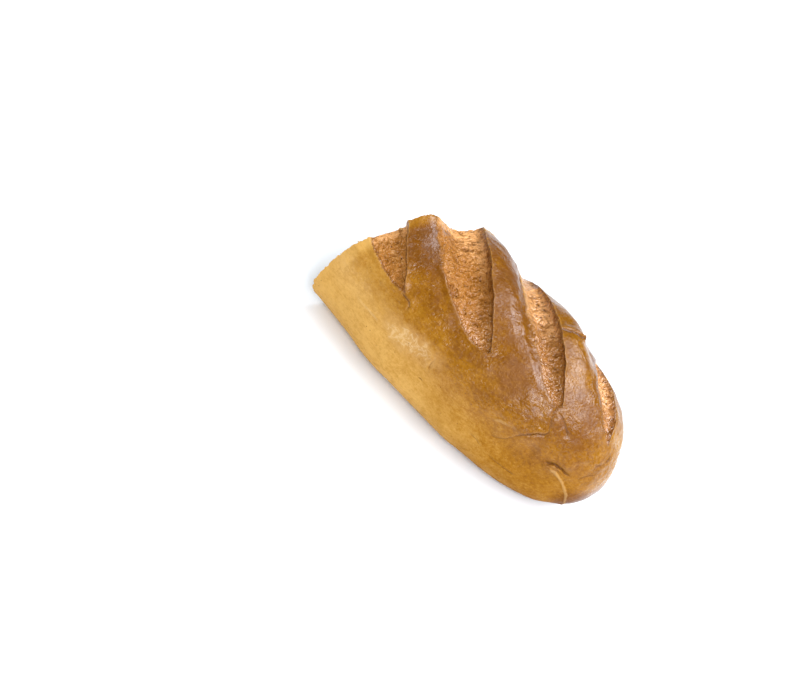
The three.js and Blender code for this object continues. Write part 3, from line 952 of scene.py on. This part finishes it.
# on the loose crumbs the same mark is only how toasted each one is
browned = loose_shape.verts.layers.float.new("pore_shade_and_toast")
for _ in range(LOOSE_CRUMBS):
    column = chance.integers(COLUMNS)
    radius = FINEST_CRUMB + CRUMB_RANGE * chance.random() ** 3
    turned = Vector(chance.normal(size=3)).to_track_quat("Z", "Y").to_matrix().to_4x4()
    long_way = Matrix.Diagonal((*(radius * (0.5 + 1.2 * chance.random(3))), 1))
    on_edge = knife_face[column] + (rim[column] - wall[0][column]) * (1.3 * chance.random() - 0.5)
    on_edge[0] += 0.2 - 0.4 * chance.random()
    on_edge[2] = max(on_edge[2], 1.7 * radius)
    crustiness = chance.random()
    bit = bmesh.ops.create_icosphere(loose_shape, subdivisions=2, radius=1)["verts"]
    for vert in bit:
        swollen = vert.co * (1 + 0.7 * (chance.random() - 0.5))
        vert.co = (Vector(on_edge + TO_FRAME) + (turned @ long_way @ swollen)) / 1000
        vert[browned] = crustiness
finished_piece(loose_shape, "loose_crumbs", bread_crumb)

# --------------------------------------------------------------------------------------------------
# The setting: a plain pale table in a white light tent, the lamps, and the camera.
# --------------------------------------------------------------------------------------------------
TABLE_SIZE = 12  # in metres
table_shape = bmesh.new()
bmesh.ops.create_grid(table_shape, x_segments=8, y_segments=8, size=TABLE_SIZE / 2)
table_mesh = bpy.data.meshes.new("table")
table_shape.to_mesh(table_mesh)
table_shape.free()
table = bpy.data.objects.new("table", table_mesh)
bpy.context.scene.collection.objects.link(table)
white_table = bpy.data.materials.new("white_table")
white_table.use_nodes = True
surface = white_table.node_tree.nodes["Principled BSDF"]
surface.inputs["Base Color"].default_value = linear_colour("#f3f6f7")
surface.inputs["Roughness"].default_value = 0.7
table.data.materials.append(white_table)

# the camera looks down on the near side with its horizon tilted
CAMERA_AZIMUTH = math.radians(20.26)
CAMERA_ELEVATION = math.radians(46.48)
CAMERA_ROLL = math.radians(35.36)
CAMERA_DISTANCE = 735.2
CAMERA_AIM = np.array([36.1, -40, 33])
SENSOR_WIDTH = 36
LENS = 69.5
back_axis = Vector((
    math.sin(CAMERA_AZIMUTH) * math.cos(CAMERA_ELEVATION),
    -math.cos(CAMERA_AZIMUTH) * math.cos(CAMERA_ELEVATION),
    math.sin(CAMERA_ELEVATION),
))
turned = back_axis.to_track_quat("Z", "Y").to_matrix() @ Matrix.Rotation(CAMERA_ROLL, 3, "Z")
camera_data = bpy.data.cameras.new("camera")
camera_data.sensor_width = SENSOR_WIDTH
camera_data.lens = LENS
camera = bpy.data.objects.new("camera", camera_data)
bpy.context.scene.collection.objects.link(camera)
camera.location = Vector((CAMERA_AIM + TO_FRAME) / 1000) + back_axis * CAMERA_DISTANCE / 1000
camera.rotation_euler = turned.to_euler()
bpy.context.scene.camera = camera

# A wide window of soft light on the heel's side, a smaller light over the camera's shoulder and one overhead.
# A screened fill isn't mirrored in the crust, and two boards, behind the loaf and beyond its heel, are only
# mirrored. azimuth: 0 is on the -Y side, and 90 is beyond the heel. size and distance are in metres.
LIGHTS = [
    {"name": "window", "azimuth": 116, "elevation": 57, "distance": 2.0, "size": (2.8, 0.5), "power": 60,
     "colour": "#eff5ff", "lit": True, "mirrored": True},
    {"name": "fill", "azimuth": 28, "elevation": 38, "distance": 1.8, "size": (0.8, 0.6), "power": 5,
     "colour": "#f3f7ff", "lit": True, "mirrored": False},
    {"name": "front", "azimuth": 32, "elevation": 46, "distance": 1.8, "size": (0.38, 0.72), "power": 19,
     "colour": "#f3f7ff", "lit": True, "mirrored": True},
    {"name": "top", "azimuth": 250, "elevation": 78, "distance": 2.0, "size": (0.5, 0.5), "power": 4,
     "colour": "#f3f7ff", "lit": True, "mirrored": True},
    {"name": "back", "azimuth": 164, "elevation": 60, "distance": 2.0, "size": (1.0, 0.45), "power": 15,
     "colour": "#f3f7ff", "lit": False, "mirrored": True},
    {"name": "side", "azimuth": 108, "elevation": 18, "distance": 2.0, "size": (0.9, 0.5), "power": 5,
     "colour": "#f3f7ff", "lit": False, "mirrored": True},
]
LOAF_MIDDLE = Vector((0, 0, 0.03))
for lamp in LIGHTS:
    azimuth = math.radians(lamp["azimuth"])
    elevation = math.radians(lamp["elevation"])
    towards = Vector((
        math.sin(azimuth) * math.cos(elevation),
        -math.cos(azimuth) * math.cos(elevation),
        math.sin(elevation),
    ))
    light_data = bpy.data.lights.new(lamp["name"], "AREA")
    light_data.shape = "RECTANGLE"
    light_data.size, light_data.size_y = lamp["size"]
    light_data.energy = lamp["power"]
    light_data.color = linear_colour(lamp["colour"])[:3]
    light = bpy.data.objects.new(lamp["name"], light_data)
    light.location = LOAF_MIDDLE + towards * lamp["distance"]
    light.rotation_euler = towards.to_track_quat("Z", "Y").to_euler()
    light.visible_diffuse = lamp["lit"]
    light.visible_glossy = lamp["mirrored"]
    bpy.context.scene.collection.objects.link(light)

# the tent's walls light the loaf evenly, and aren't mirrored in its crust
TENT_STRENGTH = 0.4
tent = bpy.data.worlds.new("light_tent")
tent.use_nodes = True
tent.node_tree.nodes["Background"].inputs["Color"].default_value = linear_colour("#fffdfb")
tent.node_tree.nodes["Background"].inputs["Strength"].default_value = TENT_STRENGTH
tent.cycles_visibility.glossy = False
bpy.context.scene.world = tent
bpy.context.scene.view_settings.view_transform = "Standard"
